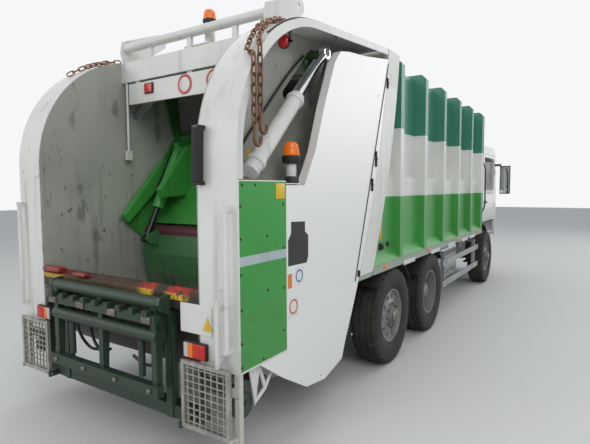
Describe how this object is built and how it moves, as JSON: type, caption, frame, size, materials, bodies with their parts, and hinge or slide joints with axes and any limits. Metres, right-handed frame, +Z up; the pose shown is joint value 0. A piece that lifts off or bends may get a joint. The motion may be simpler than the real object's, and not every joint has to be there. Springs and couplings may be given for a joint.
{
  "type": "rear loading garbage truck",
  "caption": "Three-axle rear loading garbage truck: tilting cab, ribbed compactor body, lifting tailgate with sliding carriage, packing blade, bin lifter and folding steps.",
  "frame": {"origin": "on the ground, at the middle of the overall box in plan", "axes": "+X towards the cab, +Y to the vehicle's left, +Z up"},
  "size_m": [9.4, 2.88, 3.5277],
  "materials": {
    "chassis_black": "satin",
    "axle_black": "rough, dusty",
    "engine_iron": "rough",
    "tank_aluminium": "brushed",
    "box_black": "matte",
    "guard_white": "gloss, worn",
    "mudguard_black": "matte",
    "cab_white": "gloss",
    "body_pale_green": "satin, worn",
    "body_white": "gloss, worn",
    "body_green": "gloss, worn",
    "roof_grey": "satin, worn",
    "cover_white": "gloss, worn",
    "panel_green": "gloss, worn",
    "trough_steel": "worn, rusty",
    "dark_green": "gloss, worn",
    "blade_green": "worn",
    "rod_chrome": "polished",
    "cylinder_white": "gloss, worn",
    "ram_black": "gloss",
    "lamp_red": "gloss",
    "chain_rust": "rusty",
    "rail_white": "gloss",
    "step_mesh": "galvanised",
    "glass_tinted": "clear",
    "mirror_black": "matte",
    "seat_fabric": "woven",
    "dash_plastic": "matte",
    "tyre_rubber": "matte, dusty",
    "rim_grey": "satin, dusty"
  },
  "bodies": {
    "truck": {"chassis_frame": "chassis_black", "front_axle": "axle_black", "drive_axle": "axle_black", "tag_axle": "axle_black", "suspension": "axle_black", "driveline": "engine_iron", "fuel_tank": "tank_aluminium", "battery_box": "box_black", "side_guards": "guard_white", "mudguards": "mudguard_black", "bumper": "cab_white", "body_floor": "body_pale_green", "body_sides": "body_white", "body_roof": "roof_grey", "body_front_wall": "body_green", "body_rear_frame": "body_green"},
    "cab": {"cab_shell": "cab_white", "cab_front": "cab_white", "windscreen": "glass_tinted", "mirrors": "mirror_black", "seats": "seat_fabric", "dashboard": "dash_plastic"},
    "door_right_leaf": {"door_right": "cab_white"},
    "door_left_leaf": {"door_left": "cab_white"},
    "ejector": {"ejector_plate": "trough_steel"},
    "tailgate": {"tailgate_sides": "cover_white", "side_covers": "cover_white", "side_panels": "panel_green", "hopper_trough": "trough_steel", "tailgate_roof": "cover_white", "portal": "cover_white", "lamps": "lamp_red", "chains": "chain_rust", "handrails": "rail_white", "lifter_frame": "dark_green", "carriage_cylinders": "cylinder_white"},
    "carriage_body": {"carriage": "panel_green", "carriage_rods": "rod_chrome"},
    "blade_body": {"blade": "blade_green"},
    "blade_rod_pair": {"blade_rods": "rod_chrome"},
    "ram_barrels": {"lift_ram_barrels": "ram_black"},
    "ram_rods": {"lift_ram_rods": "rod_chrome"},
    "lifter": {"bin_lifter": "dark_green"},
    "step_right_tread": {"step_right": "step_mesh"},
    "step_left_tread": {"step_left": "step_mesh"},
    "knuckle_right_body": {"knuckle_right": "axle_black"},
    "knuckle_left_body": {"knuckle_left": "axle_black"},
    "wheel_front_right": {"tyre_front_right": "tyre_rubber", "rim_front_right": "rim_grey"},
    "wheel_front_left": {"tyre_front_left": "tyre_rubber", "rim_front_left": "rim_grey"},
    "wheel_drive_right": {"tyre_drive_right": "tyre_rubber", "rim_drive_right": "rim_grey"},
    "wheel_drive_left": {"tyre_drive_left": "tyre_rubber", "rim_drive_left": "rim_grey"},
    "wheel_tag_right": {"tyre_tag_right": "tyre_rubber", "rim_tag_right": "rim_grey"},
    "wheel_tag_left": {"tyre_tag_left": "tyre_rubber", "rim_tag_left": "rim_grey"}
  },
  "joints": [
    {"name": "cab_tilt", "type": "hinge", "parent": "truck", "child": "cab", "pos_m": [4.5, 0, 0.88], "axis": [0, 1, 0], "range_deg": [0, 55]},
    {"name": "door_right_swing", "type": "hinge", "parent": "cab", "child": "door_right_leaf", "pos_m": [4.434, -1.165, 1.94], "axis": [0, 0, 1], "range_deg": [0, 70]},
    {"name": "door_left_swing", "type": "hinge", "parent": "cab", "child": "door_left_leaf", "pos_m": [4.434, 1.165, 1.94], "axis": [0, 0, -1], "range_deg": [0, 70]},
    {"name": "ejector_slide", "type": "slide", "parent": "truck", "child": "ejector", "axis": [-1, 0, 0], "range_m": [0, 4.4]},
    {"name": "tailgate_lift", "type": "hinge", "parent": "truck", "child": "tailgate", "pos_m": [-2.15, 0, 3.375], "axis": [0, 1, 0], "range_deg": [0, 85]},
    {"name": "lift_ram_turn", "type": "hinge", "parent": "truck", "child": "ram_barrels", "pos_m": [-2.51351, 0, 1.4], "axis": [0, 1, 0], "range_deg": [0, 10.31]},
    {"name": "lift_ram_extend", "type": "slide", "parent": "ram_barrels", "child": "ram_rods", "axis": [-0.2064, 0, 0.9785], "range_m": [0, 1.0107]},
    {"name": "carriage_slide", "type": "slide", "parent": "tailgate", "child": "carriage_body", "axis": [-0.7071, 0, -0.7071], "range_m": [0, 0.55]},
    {"name": "blade_swing", "type": "hinge", "parent": "carriage_body", "child": "blade_body", "pos_m": [-3.45, 0, 1.48], "axis": [0, 1, 0], "range_deg": [0, 80]},
    {"name": "blade_rod_slide", "type": "slide", "parent": "carriage_body", "child": "blade_rod_pair", "axis": [0.4549, 0, 0.8905], "range_m": [0, 0.2558]},
    {"name": "lifter_swing", "type": "hinge", "parent": "tailgate", "child": "lifter", "pos_m": [-4.61, 0, 1.14], "axis": [0, 1, 0], "range_deg": [0, 110]},
    {"name": "step_right_fold", "type": "hinge", "parent": "tailgate", "child": "step_right_tread", "pos_m": [-4.595, -1.007, 0.345], "axis": [0, -1, 0], "range_deg": [0, 90]},
    {"name": "step_left_fold", "type": "hinge", "parent": "tailgate", "child": "step_left_tread", "pos_m": [-4.595, 1.007, 0.345], "axis": [0, -1, 0], "range_deg": [0, 90]},
    {"name": "steer_right", "type": "hinge", "parent": "truck", "child": "knuckle_right_body", "pos_m": [3.25, -0.88, 0.522], "axis": [0, 0, 1], "range_deg": [-35, 35]},
    {"name": "wheel_front_right_spin", "type": "hinge", "parent": "knuckle_right_body", "child": "wheel_front_right", "pos_m": [3.25, -1.1025, 0.522], "axis": [0, 1, 0], "continuous": true},
    {"name": "wheel_drive_right_spin", "type": "hinge", "parent": "truck", "child": "wheel_drive_right", "pos_m": [-0.55, -0.935, 0.522], "axis": [0, 1, 0], "continuous": true},
    {"name": "wheel_tag_right_spin", "type": "hinge", "parent": "truck", "child": "wheel_tag_right", "pos_m": [-1.93, -1.1025, 0.522], "axis": [0, 1, 0], "continuous": true},
    {"name": "steer_left", "type": "hinge", "parent": "truck", "child": "knuckle_left_body", "pos_m": [3.25, 0.88, 0.522], "axis": [0, 0, 1], "range_deg": [-35, 35]},
    {"name": "wheel_front_left_spin", "type": "hinge", "parent": "knuckle_left_body", "child": "wheel_front_left", "pos_m": [3.25, 1.1025, 0.522], "axis": [0, 1, 0], "continuous": true},
    {"name": "wheel_drive_left_spin", "type": "hinge", "parent": "truck", "child": "wheel_drive_left", "pos_m": [-0.55, 0.935, 0.522], "axis": [0, 1, 0], "continuous": true},
    {"name": "wheel_tag_left_spin", "type": "hinge", "parent": "truck", "child": "wheel_tag_left", "pos_m": [-1.93, 1.1025, 0.522], "axis": [0, 1, 0], "continuous": true}
  ],
  "couplings": [
    {"joint": "steer_left", "follows": "steer_right", "ratio": 1},
    {"joint": "lift_ram_turn", "follows": "tailgate_lift", "ratio": 0.12073},
    {"joint": "lift_ram_extend", "follows": "tailgate_lift", "m_per_rad": 0.68095},
    {"joint": "blade_rod_slide", "follows": "blade_swing", "m_per_rad": 0.18287}
  ]
}
